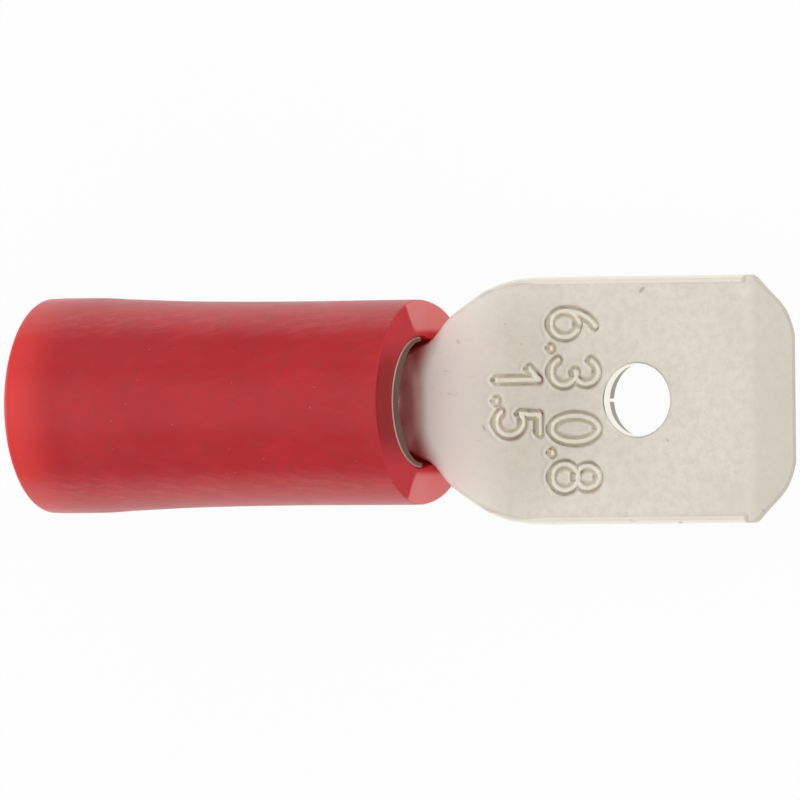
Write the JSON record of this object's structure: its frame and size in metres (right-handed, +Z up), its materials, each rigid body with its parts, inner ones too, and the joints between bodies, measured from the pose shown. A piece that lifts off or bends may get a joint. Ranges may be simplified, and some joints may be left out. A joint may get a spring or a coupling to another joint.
{
  "type": "male spade terminal",
  "caption": "Insulated crimp terminal with a flat male tab: a red sleeve over a rolled wire barrel, and a folded tin-coated tab with a detent hole.",
  "frame": {"origin": "on the wire barrel's axis, at the barrel's wire end, where the bare conductor enters", "axes": "+X along the barrel's axis towards the tip of the tab, +Z up, square to the face of the tab, on the side of the barrel's seam"},
  "size_m": [0.0208, 0.0064, 0.0056],
  "materials": {
    "red_sleeve": "smooth soft PVC, satin gloss, finely rubbed",
    "tin_coated_brass": "brass sheet with a matte tin coating"
  },
  "bodies": {
    "root": {"insulation_sleeve": "red_sleeve", "terminal": "tin_coated_brass"}
  },
  "joints": []
}
